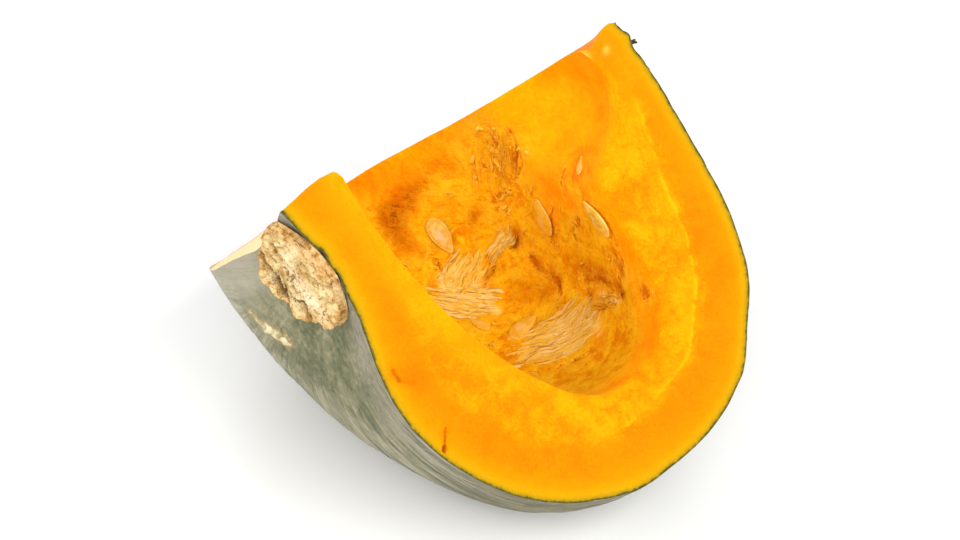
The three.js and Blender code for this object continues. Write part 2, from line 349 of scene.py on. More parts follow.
# A material being made. add() makes any node; the others are short ways to common ones.
class Paint:
    def __init__(self, name):
        self.material = bpy.data.materials.new(name)
        self.material.use_nodes = True
        self.tree = self.material.node_tree
        self.tree.nodes.clear()

    def add(self, kind, settings=None, sockets=None, output=0):
        node = self.tree.nodes.new("ShaderNode" + kind)
        for key, value in (settings or {}).items():
            if key == "stops":
                ramp = node.color_ramp
                while len(ramp.elements) < len(value):
                    ramp.elements.new(0.5)
                for element, (place, *shade) in zip(ramp.elements, value):
                    element.position, element.color = place, tint(*shade)
            else:
                setattr(node, key, value)
        for key, value in (sockets or {}).items():
            if isinstance(value, Wire):
                self.tree.links.new(value.socket, node.inputs[key])
            else:
                node.inputs[key].default_value = value
        return Wire(self, node.outputs[output]) if node.outputs else node

    # A mesh attribute: a vector's own output, or the value of a plain number.
    def vector(self, name):
        return self.add("Attribute", {"attribute_name": name}, output="Vector")

    def value(self, name):
        return self.add("Attribute", {"attribute_name": name}, output="Fac")

    # Some of a vector attribute's three numbers.
    def parts(self, name, axes):
        vector = self.vector(name)
        return [self.add("SeparateXYZ", {}, {0: vector}, axis) for axis in axes]

    def vectorMath(self, operation, first, second, output="Vector"):
        return self.add("VectorMath", {"operation": operation}, {0: first, 1: second}, output)

    # Noise over a vector whose three numbers are first multiplied by shares.
    def grain(self, vector, scale, detail=3, rough=0.5, bend=0, shares=None):
        if shares:
            vector = self.vectorMath("MULTIPLY", vector, shares)
        sockets = {"Vector": vector, "Scale": scale, "Detail": detail, "Roughness": rough, "Distortion": bend}
        return self.add("TexNoise", {}, sockets, "Fac")

    # How strongly a line of a width shows at a place: its distance to a straight stretch between two
    # ends, roughened by a pattern.
    def line(self, place, start, end, width, pattern):
        way = np.subtract(end, start)
        away = self.vectorMath("SUBTRACT", place, start)
        share = self.vectorMath("DOT_PRODUCT", away, tuple(way / (way @ way)), "Value")
        held = self.add("Clamp", {}, {"Value": share})
        reached = self.add("VectorMath", {"operation": "SCALE"}, {0: tuple(way), "Scale": held})
        off = self.vectorMath("DISTANCE", away, reached, "Value")
        return (off + (pattern - 0.5) * width * 1.6).fade(width * 0.3, width)

    def mix(self, share, first, second):
        return self.add("Mix", {"data_type": "RGBA"}, {0: share, 6: first, 7: second}, 2)

    # Lays coats over a colour one after another: how much each covers, and its screen colour.
    def coats(self, colour, *coats):
        for share, *shade in coats:
            colour = self.mix(share, colour, tint(*shade))
        return colour

    # Each stop is a place on the ramp and a screen colour.
    def ramp(self, value, *stops):
        return self.add("ValToRGB", {"stops": stops}, {0: value})

    def bump(self, height, distance, strength=1):
        return self.add("Bump", {}, {"Height": height, "Distance": distance, "Strength": strength})

    def finish(self, colour, roughness, normal, **fixed):
        sockets = {"Base Color": colour, "Roughness": roughness, "Normal": normal}
        sockets.update({key.replace("_", " "): value for key, value in fixed.items()})
        self.add("OutputMaterial", {}, {"Surface": self.add("BsdfPrincipled", {}, sockets)})
        return self.material


# Ripe flesh all over: orange with yellower and redder clouds, pale specks and darker pits.
def ripe(paint, place):
    clouds = paint.grain(place, 0.05, 3, 0.55, 0.4)
    small = paint.grain(place, 0.2, 4, 0.65, 0.5)
    fine = paint.grain(place, 1.2, 5, 0.72)
    specks = (fine * 0.7 + small * 0.3).step(0.53, 0.64)
    pits = (fine * 0.75 + small * 0.25).fade(0.36, 0.46)
    tone = clouds * 0.3 + small * 0.45 + fine * 0.25
    colour = paint.ramp(tone, (0.41, 290, 148, 1), (0.48, 300, 166, 2), (0.56, 305, 187, 3))
    return paint.coats(colour, (specks * 0.45, 308, 204, 24), (pits * 0.55, 280, 138, 0)), small, fine


# Cut faces: ripe flesh with a pale line of veins a little way under the skin, a green rim at the very
# edge, stains with painted shade along creases, and a pale strip of painted light on the second cut.
# "under" is the depth below the skin in mm.
def paintFlesh():
    paint = Paint("cutFlesh")
    place, under = paint.vector("place"), paint.value("under")
    lift, rim = paint.parts("wall", "YZ")
    paleLitStrip, = paint.parts("marks", "Z")
    colour, small, fine = ripe(paint, place)
    blossomSide = lift.step(84, 116)
    wander = paint.value("vein") + (paint.grain(place, 0.09, 2) - 0.5) * 4 + (small - 0.5) * 2
    outer = under.step(1, 3) * wander.fade(-4, 0.5)
    halo = wander.step(-1.2, 0.5) * wander.fade(0.6, 4.5)
    core = wander.step(-0.6, -0.1) * wander.fade(0.1, 0.9) * (1 - lift.step(148, 166) * 0.7)
    edge = under + (paint.grain(place, 0.6, 4, 0.65) - 0.5) * 1.3
    scratches = [
        (paint.line(place, start, end, width, fine) * strength, 184, 98, 4)
        for start, end, width, strength in wedge["scratches"]
    ]
    colour = paint.coats(
        colour,
        (outer * (0.35 + small * 0.6), 292, 144, 0),
        (halo * (blossomSide * 0.3 + 0.08), 306, 186, 4),
        (core * blossomSide * small.step(0.38, 0.54) * 0.7, 310, 212, 10),
        (lift.step(150, 170) * 0.75, 302, 154, 2),
        (rim.fade(2, 11) * lift.fade(60, 95) * 0.5, 306, 192, 6),
        (edge.fade(1.5, 9) * (0.45 - blossomSide * 0.2), 305, 192, 4),
        (edge.fade(0.4, 4.4) * 0.75, 254, 192, 8),
        (edge.fade(0.4, 2.6) * 0.8, 190, 164, 22),
        (edge.fade(0.15, 0.9), 84, 86, 42),
        # Stains, with painted shade along creases.
        (paint.value("stain") * (0.4 + small * 1.2), 248, 122, 2),
        *scratches,
        (paint.value("glint") * 0.7, 306, 230, 84),
        # Painted light: the pale cream strip on the second cut.
        (paleLitStrip * 0.95, 300, 264, 202),
    )
    normal = paint.bump(fine * 1.2 + small * 1.6, 0.0005, 0.5)
    return paint.finish(colour, 0.5 + fine * 0.12, normal, **flesh)


# The cavity wall: torn, fibrous flesh that turns smooth and ripe towards the rim and the blossom end.
# "wall" is turn, lift and distance from the rim; "zone" is how browned and shaded, how pale and how
# torn it is. The browned and shaded share is partly brown fibre and partly painted shade in the shaded
# left of the cavity and in its pockets.
def paintWall():
    paint = Paint("cavityWall")
    place, fibre = paint.vector("place"), paint.vector("fibre")
    turn, lift = paint.parts("wall", "XY")
    deep, pale, torn = paint.parts("zone", "XYZ")
    smooth, small, fine = ripe(paint, place)
    smooth = paint.coats(
        smooth,
        # Stains and painted crease shade, where they reach the wall.
        (paint.value("stain") * (0.5 + small), 226, 108, 2),
        # Partly painted light: the blossom end of the wall is made yellower to make up for facing away from
        # the lamps.
        (lift.step(106, 126) * turn.step(16, 42) * 0.45, 306, 192, 5),
        # Painted light: the wall just inside the soft rim of the large cut is made yellower to make up for
        # its shade, so it runs on from the lit cut face.
        (turn.step(0.5, 5) * turn.fade(5, 13) * lift.step(84, 100) * 0.45, 305, 186, 4),
        (lift.step(146, 168) * 0.35, 302, 158, 2),
    )
    fibres = paint.grain(fibre, 1, 4, 0.65, 0.9)
    hairs = paint.grain(fibre, 1, 5, 0.72, 1.6, (3.6, 2.2, 1))
    crumbs = paint.grain(place, 0.62, 5, 0.75, 0.8)
    patches = paint.grain(place, 0.13, 3, 0.6, 0.8)
    clots = paint.grain(place, 0.36, 4, 0.65, 1.4)
    mat = fibres * 0.25 + hairs * 0.25 + crumbs * 0.5
    tone = patches * 0.4 + clots * 0.35 + mat * 0.25
    rough = paint.coats(
        paint.ramp(tone, (0.41, 278, 170, 4), (0.49, 293, 210, 10), (0.57, 301, 238, 34)),
        (mat.step(0.52, 0.6) * 0.7, 306, 236, 60),
        (mat.fade(0.39, 0.47) * 0.6, 240, 132, 2),
    )
    ragged = deep + (crumbs - 0.5) * 1.6 + (hairs - 0.5) * 1.2
    streaks = (hairs * 0.6 + fibres * 0.4).step(0.38, 0.52)
    crack = paint.value("crack") + (crumbs - 0.5) * 4 + (hairs - 0.5) * 3
    broken = clots.step(0.4, 0.54)
    colour = paint.coats(
        paint.mix(torn, smooth, rough),
        # Painted shade in part: the browned and shaded zone darkens the shaded left of the cavity and its
        # pockets, as well as brown fibre.
        (deep * (0.15 + small), 246, 132, 2),
        (ragged.step(0.35, 0.8) * deep.step(0.05, 0.3) * 0.6, 228, 108, 1),
        (pale * (0.5 + streaks * 0.5), 302, 222, 40),
        ((pale * (0.3 + streaks * 0.7)).step(0.3, 0.85), 304, 264, 150),
        # Painted shade: near black-brown in the deepest pockets.
        (ragged.step(0.85, 1.15) * 0.85, 172, 70, 2),
        (crack.step(0.5, 0.8) * crack.fade(0.9, 1.5) * broken * 0.4, 306, 236, 70),
        # Painted shade: the cracks are painted darker inside, darkest where the wall is broken.
        (crack.fade(0.2, 0.8) * 0.4, 232, 114, 2),
        (crack.fade(-0.1, 0.35) * broken * 0.75, 176, 76, 2),
    )
    height = fine * 1.2 + small * 1.6 + (fibres * 2 + hairs * 2 + crumbs * 4 - fine - small) * torn
    return paint.finish(colour, 0.5 + fine * 0.12, paint.bump(height, 0.0005, 0.5), **flesh)


# Rind: grey-green under a pale bloom, with streaks that run from the stem to the blossom end and give
# way to plain blotches round the stem. "streak" is distance round the fruit and along it in mm.
def paintRind():
    paint = Paint("rind")
    place, streak = paint.vector("place"), paint.vector("streak")
    around, along = paint.parts("streak", "XY")
    wart, worn = paint.parts("marks", "XY")
    broad = paint.grain(streak, 1, 3, 0.55, 0.6, (0.16, 0.03, 1))
    thin = paint.grain(streak, 1, 4, 0.6, 0.7, (0.5, 0.05, 1))
    hair = paint.grain(streak, 1, 3, 0.6, 0.8, (1.3, 0.14, 1))
    long = paint.grain(streak, 1, 4, 0.7, 0.5, (0.5, 0.12, 1))
    dark = paint.grain(streak, 1.4, 4, 0.7, 0.5, (0.7, 0.07, 1))
    blotch = paint.grain(place, 0.08, 4, 0.6, 0.5)
    crumb = paint.grain(place, 0.6, 4, 0.6)
    streaky = along.step(22, 78) * 0.9
    plain = blotch * 0.55 + crumb * 0.4 + broad * 0.05
    tone = plain + streaky * (broad * 0.3 + thin * 0.4 + hair * 0.2 + crumb * 0.1 - plain)
    # Painted shade: a darker band round the fruit, 67 to 114 mm from the stem, which lies along the bottom of
    # the view by the floor.
    lowShade = along.step(67, 84) * (1 - along.step(96, 114) * 0.5)
    scab = wart + (crumb - 0.5) * 1.3 + (paint.grain(place, 2.2, 3, 0.6) - 0.5) * 0.7
    colour = paint.coats(
        paint.ramp(tone, (0.41, 84, 88, 62), (0.465, 122, 124, 92), (0.525, 154, 150, 116),
                   (0.6, 208, 198, 164)),
        (blotch.step(0.44, 0.62) * 0.3, 180, 174, 146),
        (blotch.fade(0.36, 0.5) * 0.35, 108, 118, 84),
        (along.step(44, 78) * (thin * 0.7 + broad * 0.3).step(0.42, 0.58) * 0.4, 216, 208, 184),
        # Painted shade along the bottom band.
        (lowShade * 0.55, 112, 105, 78),
        (along.step(16, 34) * along.fade(48, 64) * 0.42, 104, 104, 68),
        (around.step(86, 108) * 0.5, 216, 210, 182),
        (worn * (1 - lowShade) * thin.step(0.36, 0.6) * 0.6, 190, 176, 168),
        (long.step(0.59, 0.7) * 0.5 * streaky, 208, 188, 136),
        (dark.fade(0.34, 0.46) * 0.6 * streaky, 90, 96, 70),
        (scab.step(0.08, 0.44) * 0.75, 182, 156, 104),
    )
    patch = paint.ramp(crumb, (0.4, 204, 182, 122), (0.5, 234, 220, 168), (0.6, 246, 238, 196))
    colour = paint.mix(scab.step(0.4, 0.85), colour, patch)
    # Painted shade: the dark strip on the skin beside the large cut near the stem.
    colour = paint.coats(colour, (paint.value("grime").step(0.2, 0.8) * 0.85, 84, 66, 46))
    normal = paint.bump(thin * streaky + hair * 0.4 * streaky + blotch + crumb, 0.0004, 0.5)
    return paint.finish(colour, 0.6 + thin * 0.15, normal, Specular_IOR_Level=0.25)


print("stage: wedge")

wedge = {
    "skinTurns": 96, "wallTurns": 210, "lifts": 240, "faceRows": 26, "softRows": 70,
    "ribs": (0.3, 8, 20),    # height in mm, count round the fruit, phase
    # two ends, width and height
    "warts": (
        ((2.2, 38.6, -46.1), (7, 36, -46.2), 1.5, 0.45),
        ((7.6, 35.2, -46.2), (12.4, 31.2, -45.6), 2.2, 0.9),
    ),
    # two ends, width and depth
    "nicks": (
        ((49.1, -8.3, -38.3), (53.3, -8.3, -41.7), 0.5, 0.7),
        ((53, -8.3, -41.4), (53.4, -8.3, -41.8), 0.7, 0.8),
        ((29.8, -8.3, -40.9), (34.3, -8.3, -40.1), 0.8, 0.4),
    ),
    # two ends, width and strength
    "scratches": (
        ((49.1, -8, -38.3), (53.3, -8, -41.7), 0.55, 0.8), ((52.8, -8, -41.4), (53.2, -8, -42), 0.95, 1),
        ((29.8, -8, -40.9), (32.4, -8, -41), 1, 0.6), ((32.4, -8, -41), (35.5, -8, -38.4), 1.1, 0.3),
    ),
    # the same; bruises, a brown dot and painted shade along creases that the shape lacks
    "stainsAndCreaseShade": (
        ((30.5, -8.3, -40.9), (35, -8.3, -36.4), 2.6, 0.45),
        ((49.1, -8.3, -38.3), (53.3, -8.3, -41.7), 0.9, 0.3),
        ((12.2, -7.3, 45.6), (15, -7.3, 40.4), 0.9, 0.6), ((15, -7.3, 40.4), (17.4, -7.4, 34.4), 1.3, 0.9),
        ((32.3, -7.4, 31.3), (38.1, -7.4, 36.9), 0.9, 0.5), ((38.1, -7.4, 36.9), (46, -7.3, 46), 1, 0.3),
        ((-15.3, -8.1, -24.3), (-15.5, -8.1, -25), 0.5, 0.8),
    ),
    # place and width
    "glints": (((-5, -7.2, 50.3), 1.5), ((-1.3, -7.1, 56), 1.1), ((0.8, -7.2, 49.2), 0.9)),
    # along the cut edge from the sight point, and how far the edge stands out (+) or is cut in (-)
    "edgeRise": (
        (-60, 0.6), (-48.3, 1.3), (-46.5, 1.75), (-42.7, 2.5), (-39.6, 3.05), (-36.4, 3.3), (-33.8, 3),
        (-31.5, 2.6), (-30.9, 1.4), (-30.6, 0.2), (-26, 0), (36, 0), (41, -0.5), (44.6, -1.9), (46.9, -1.3),
        (49.3, 0.1), (51.2, 1), (52.8, 1.3), (54.5, 0.6), (60, 0.3),
    ),
    # across the view in mm, and how far the second cut stands out there
    "secondRise": (
        (-60, 0.9), (-54, 0.5), (-46, 0.4), (-41, 0.9), (-33, 0.6), (-27, 0.9), (-22.6, 1.3), (-18, 1.55),
        (-14, 1.45), (-8, 1.1), (-0.7, 0.45), (3, 0), (8, -0.3), (14, -0.65), (40, -0.7), (60, -0.5),
    ),
    # lift, and how far the skin stands out beside the large cut
    "largeEdge": (
        (0, 0), (70, 0), (78, -0.6), (82.6, -0.95), (86, -0.5), (90, 0.25), (98, 0.7), (104, 0.95),
        (107, 0.8), (109.5, 0.5), (112, 0.8), (114, 0.5), (118, -0.4), (120.5, -0.25), (124.5, 0.7),
        (126.6, 1), (129, 0.95), (135.5, 0.6), (138, 0.25), (142, -0.2), (148, -0.2), (151, 0.35),
        (155, 0.35), (158.5, 0.95), (162.5, 1.3), (167, 0.9), (171, 0.95), (176, 1.7), (180, 0.6),
    ),
    # turn, and how far the skin stands out along its lowest line in view
    "lowLine": (
        (3.8, -0.3), (5.5, 0.5), (7.7, -0.55), (12.4, -0.3), (20, 0.3), (27.6, -0.25), (34.5, -0.75),
        (40.3, -0.55), (48.5, 0.25), (55.6, 0.25), (61.9, 0.5), (70.2, -0.35), (80.9, -0.2),
    ),
    "lowest": ((0, 80), (20, 65), (40, 57), (60, 53), (81, 49)),    # turn and lift of that line
    # lift, and how far the second cut falls away beside the skin; then over what width
    "bevel": (
        (0, 0), (5, 0), (12, 1.4), (20, 3), (27.5, 3), (31, 2.5), (36, 2), (41, 1.8), (44, 1.8), (47, 1.7),
        (52, 0.9), (60, 0),
    ),
    "bevelWidth": 6.5,
    # lift, and how deep the pale vein lies below the skin
    "vein": (
        (60, 16), (100, 16), (115, 15.5), (130, 14), (140, 11.6), (150, 9.2), (157, 7.8), (168, 5.6),
        (180, 5),
    ),
    "softRim": 5,         # width over which the rim is rounded where it is soft
    "flare": (2.6, 9),    # how far the soft rim flares and over what turn
}

# Heights in mm of what is all over a surface; lumps and crumbs also have a size. A seed seat has a
# spread in degrees for a seed of size 1, and how far it lifts the wall.
relief = {
    "lumps": (0.6, 9), "crumbs": (0.5, 3.5), "fibreRidge": 0.2, "crackDepth": 0.35, "crackWidth": 0.6,
    "seedSeat": (6, 0.3), "creases": 0.16, "pores": 0.12, "largeCut": 0.22, "secondCut": 0.12,
}

# Seeds: turn, lift, roll in the wall, how far it sits off the wall in mm, size, how far it stands on
# edge, and how much of a film of flesh lies over it.
seeds = {
    "seed_1": (67.6, 99.9, 177, 0, 0.785, 6, 0.1), "seed_2": (57.6, 109.8, -92, 0.2, 0.46, 12, 0.3),
    "seed_3": (45.6, 118, -69, 0, 0.85, 4, 0.75), "seed_4": (12.9, 123.9, -67, 0, 0.8, 6, 0.15),
    "seed_5": (20.4, 137.3, -66, -0.2, 0.4, 4, 0.5), "seed_6": (48, 94.3, 19, 0, 0.44, 0, 0.8),
    "seed_7": (41.2, 99.6, -93, 0.2, 0.64, 8, 0.6),
}

# Places on the cavity wall: turn, lift, half width in turn and in lift, and how deep in mm or how
# strongly browned and shaded or paled. The browned and shaded places are partly brown fibre and partly
# painted shade: the shaded left of the cavity under the second cut, and its pockets.
hollows = [
    (16.1, 113.1, 1.8, 1.3, 2.6), (5.1, 113.7, 2, 1.3, 1.8), (55, 110.3, 1.5, 1.5, 4),
    (44.1, 110, 3.1, 1.2, 1.3), (39.8, 110, 1.3, 1, 1), (74, 96, 8, 8, 0.8), (57.3, 108, 1.1, 1.5, -1.3),
    (57.9, 105.3, 1, 1.4, -1.3), (59.4, 102.6, 1.2, 1.6, -0.7), (12.9, 116.4, 1.2, 1.4, 0.8),
    (29.1, 111, 1.5, 1, 1), (60.5, 124.1, 1.4, 3.5, 0.9), (56.1, 102.5, 1.3, 1.4, 1),
    (68.2, 130, 2, 1.6, 0.7), (64, 116.3, 2.2, 1.6, 0.7),
]
# Partly painted shade: the shaded left of the cavity and its pockets, with brown fibre.
brownAndShade = [
    (77.6, 109, 3.6, 3.4, 0.36), (78.5, 98, 4.5, 5, 0.7), (76, 92.5, 4, 3.5, 0.65),
    (70.5, 93.5, 3.5, 3, 0.5), (77.6, 119.5, 2, 2, 0.5), (68.4, 121.7, 5, 4.8, 0.65),
    (68.2, 130, 2.1, 2, 0.6), (60.5, 124.1, 2, 4.2, 0.7), (64, 116.3, 2.9, 2.4, 0.5),
    (65.7, 107.2, 2, 2.2, 0.7), (72.2, 103, 2, 2, 0.3), (66.8, 98, 2, 2, 0.45), (77, 100, 5, 4.4, 0.15),
    (74, 94, 3.4, 2.8, 0.15), (79.5, 103, 3, 3, 0.2), (80.6, 106, 2.4, 2.6, 0.3), (71, 106, 3, 2.6, 0.35),
    (73.5, 124.9, 3, 3, 0.3), (65, 135, 4, 4, 0.35), (55, 110.4, 1.5, 1.4, 1.2),
    (56.1, 102.5, 1.4, 1.5, 0.75), (54.6, 100.4, 1.2, 1.2, 0.6), (60.6, 99.7, 0.8, 0.9, 0.6),
    (47.3, 109.8, 1.4, 1, 0.75), (44.1, 110, 3.1, 1.2, 0.5), (40, 109.6, 1.6, 1, 0.8),
    (43.6, 116.4, 2.6, 3.2, 0.3), (48, 104.8, 4.5, 3, 0.45), (41.8, 106.8, 4, 2.2, 0.5),
    (32.5, 132.5, 2.4, 2.4, 0.4), (29.8, 128.1, 2, 2, 0.5), (27.4, 121.5, 7, 2.4, 0.3),
    (28, 114.6, 7, 2, 0.65), (20.5, 114.6, 4, 1.6, 0.4), (63, 127.5, 5, 3.5, 0.5),
    (24.6, 139, 2.4, 2.6, 0.5), (23.5, 133, 1.4, 4, 0.6), (29.1, 111, 1.5, 0.9, 0.9),
    (16.1, 113.1, 1.9, 1.1, 1.1), (5.1, 113.7, 2.2, 1.1, 1), (12.9, 116.4, 1.5, 1.2, 0.8),
    (12.9, 118.6, 1.2, 1.2, 0.7), (29.6, 106.7, 1.6, 0.7, 0.8), (34, 99.7, 1.5, 0.8, 0.75),
    (26.3, 95.7, 5.5, 2.6, 0.3), (15.5, 97.1, 4, 1.8, 0.2),
]
paled = [
    (58.1, 97.8, 2.6, 2.8, 0.85), (60.5, 95.6, 2.2, 2.2, 0.7), (54.9, 99.4, 1.8, 1.9, 0.5),
    (53.4, 101.6, 2.2, 1.6, 0.35), (52.4, 96, 3.6, 1.7, 1), (56.5, 93.6, 3, 1.7, 1),
    (48.6, 98.6, 2.4, 1.4, 0.7), (57.3, 108, 0.9, 1.6, 1), (57.9, 105.3, 0.9, 1.3, 1),
    (59.2, 102.6, 1.2, 1.6, 0.9), (60.4, 112.6, 2.2, 1.8, 0.5), (36, 97, 2.6, 2.2, 0.95),
    (32.6, 99.4, 3.6, 2.6, 1), (30.4, 103.6, 3.6, 2.4, 0.8), (27, 107.8, 3.6, 2, 0.6),
    (22.5, 111.6, 4.4, 1.2, 0.85), (17.5, 112, 2.4, 0.8, 0.6), (23.3, 106, 3.4, 2.2, 0.4),
    (74.6, 114.4, 1.1, 0.8, 0.7), (40, 99.4, 1.8, 1.2, 0.5), (46, 122, 3, 3, 0.3),
]

# Cracks in the cavity wall: lines of turn and lift.
cracks = [
    ((48.7, 110.1), (46.8, 109.7), (45.1, 109.8)), ((43, 110.5), (40.5, 110.3), (38.5, 108.9)),
    ((31.9, 105.3), (30.2, 106.9), (27.9, 108)), ((35, 97.9), (33.4, 100.5)),
    ((10.7, 117.8), (12.3, 116.2), (16.4, 114.3)),
    ((57.5, 104.2), (55.4, 103.9), (54.9, 101.3), (52.9, 99.1)),
    ((30.2, 112.8), (23.9, 114.1), (19.5, 113.6)), ((4.7, 114.3), (2.9, 113.7), (5.1, 112.7)),
    ((68.9, 131.4), (64.1, 130.4), (60.5, 127), (59.8, 122.2)),
    ((75.4, 123.2), (69.6, 123.9), (69.1, 119.3)), ((31.4, 134.2), (32.6, 129.2), (31.6, 126.1)),
    ((73.4, 113.5), (69.6, 116.3), (66, 120)), ((10.2, 121.9), (9.1, 120.6), (10.3, 120.2)),
    ((40.7, 121.6), (42.8, 117.9), (43.2, 114.6)), ((17.4, 117.6), (13.8, 117.1)),
    ((59.1, 127.9), (56.2, 125), (59, 120.1)), ((65.5, 96.2), (62.5, 95.9), (60, 96.1)),
    ((56.6, 109), (54.3, 109.2), (52.8, 110.6)), ((26.7, 97.2), (25, 99.8), (22.8, 102.3)),
    ((24.9, 109.9), (19.9, 111.2), (17.7, 112.5)), ((61.4, 115.6), (63.6, 112.1), (61.3, 111.3)),
    ((26.7, 122.8), (32.1, 119.6), (31.7, 118.1)),
]


# Distance to the nearest crack in degrees, each about a millimetre on the wall.
def offCracks(turn, lift):
    place = joined(turn, lift)
    return np.min([offStretch(place, a, b) for crack in cracks for a, b in zip(crack, crack[1:])], axis=0)


# How strongly places on the wall show, added up.
def spots(turn, lift, places):
    return sum(
        size * np.exp(-((turn - t) / across) ** 2 - ((lift - a) / along) ** 2)
        for t, a, across, along, size in places
    )


# Turn, lift and distance of points as seen from the sight point.
def angles(points):
    away = points - sight
    span = np.linalg.norm(away, axis=-1)
    lift = np.degrees(np.arccos(np.clip(-(away @ cutEdge) / np.maximum(span, 1e-9), -1, 1)))
    turn = np.degrees(np.arctan2(away @ inward, away @ alongLarge))
    return turn, lift, span


# Coordinates along which the wall's fibres lie: the first changes fast across them.
def fibreWay(turn, lift):
    across, along = 0.75 * turn + 0.65 * lift, -0.65 * turn + 0.75 * lift
    return joined(across / 1.7, along / 8, 0)


# How torn the wall is, 0 for smooth flesh to 1 for ripped fibre.
def tornShare(turn, lift):
    ragged = 6 * noise(joined(turn / 7, lift / 5, 0), 31)
    nearRim = 1 - softShare(lift) * (1 - step(turn + 0.5 * ragged, 2, 14))
    nearRim = nearRim * step(sweep - turn + 0.3 * ragged, 1, 9)
    ragged = ragged + 10 * bell(turn - 42, 12)
    return (1 - step(lift + ragged, 123, 137)) * step(lift, 55, 75) * nearRim


# How far the cavity wall lies behind its even shape, in mm: lumps, ridges of fibre and pockets,
# with none of them at the rims.
def wallRelief(turn, lift, points):
    torn = tornShare(turn, lift)
    ridge = 1 - 2.2 * np.abs(noise(fibreWay(turn, lift), 41))
    (lump, lumpSize), (crumb, crumbSize) = relief["lumps"], relief["crumbs"]
    lumps = lump * layered(points / lumpSize, 2, 51) + torn * crumb * layered(points / crumbSize, 3, 61)
    calm = step(turn, 0, 7) * step(sweep - turn, 0, 4) * step(lift, 3, 30) * step(180 - lift, 3, 20)
    spread, sunk = relief["seedSeat"]
    seats = [(t, a, spread * size, spread * size, -sunk) for t, a, _, _, size, _, _ in seeds.values()]
    depth, width = wedge["flare"]
    flare = depth * softShare(lift) * np.exp(-turn / width)
    broken = relief["crackDepth"] * bell(offCracks(turn, lift), relief["crackWidth"])
    pressed = spots(turn, lift, hollows + seats)
    return calm * (lumps - relief["fibreRidge"] * ridge * torn + pressed + broken) + flare


# Where the rim is soft, 0 to 1: from the bottom of the cavity round to its blossom side.
def softShare(lift):
    return step(lift, 76, 102) * (1 - step(lift, 164, 176))


# Distance from the sight point to the finished wall.
def wallReach(turn, lift):
    way = sightWay(turn, lift)
    span = reach(sight, way, hollowSide)
    return span + wallRelief(turn, lift, sight + span[..., None] * way)


# A point that stands off the finished wall by so many mm.
def wallPoint(turn, lift, back):
    way = sightWay(turn, lift)
    return sight + (wallReach(turn, lift) - back)[..., None] * way


skinScale = (60, 75)    # mm for each radian round the fruit and along it


# Where a skin point lies round the fruit and along it from the stem, in mm.
def skinPlace(points):
    bearing = np.arctan2(points[..., 1], points[..., 0])
    r = np.hypot(points[..., 0], points[..., 1])
    polar = np.arctan2(r, -points[..., 2])
    return joined(bearing * skinScale[0], polar * skinScale[1], 0)


# How far the skin stands out from its even shape, in mm.
def skinRelief(points):
    height, count, phase = wedge["ribs"]
    place = skinPlace(points)
    ribs = height * np.cos(place[..., 0] / skinScale[0] * count + radians(phase))
    creases = relief["creases"] * layered(place * (0.45, 0.05, 1), 2, 71)
    warts = sum(strokes(points, wedge["warts"])) * (1 + 0.4 * noise(points / 1.3, 81))
    return ribs + creases + relief["pores"] * layered(points / 3, 2, 91) + warts


# How far the skin stands out beside the large cut and along its lowest line in view.
def skinFit(turn, lift):
    beside = read(lift, wedge["largeEdge"]) * (1 - step(turn, 4, 26))
    return beside + read(turn, wedge["lowLine"]) * bell(lift - read(turn, wedge["lowest"]), 9)


# Rounds the rim of the large cut: each column's line from the skin along the cut and on down the wall is
# averaged with a bell whose width is how soft the rim is there. It takes in softRows rows of the wall.
def softened(face, wall, widths):
    depth = wedge["softRows"]
    line = np.concatenate([face, wall[1:depth]])
    steps = np.linalg.norm(np.diff(line, axis=0, prepend=line[:1]), axis=-1)
    run = np.cumsum(steps, axis=0)
    share = np.exp(-((run[:, None] - run[None]) / np.maximum(widths, 0.1)) ** 2)
    share = share * (np.gradient(run, axis=0) + 1e-6)[None]
    smooth = np.einsum("ijk,jkc->ikc", share, line) / share.sum(1)[..., None]
    held = step(run, 0.5, 6) * step(run[-1] - run, 0.5, 6) * step(widths, 0, 1)
    line = line + (smooth - line) * held[..., None]
    return line[:len(face)], np.concatenate([line[len(face) - 1:], wall[depth:]])


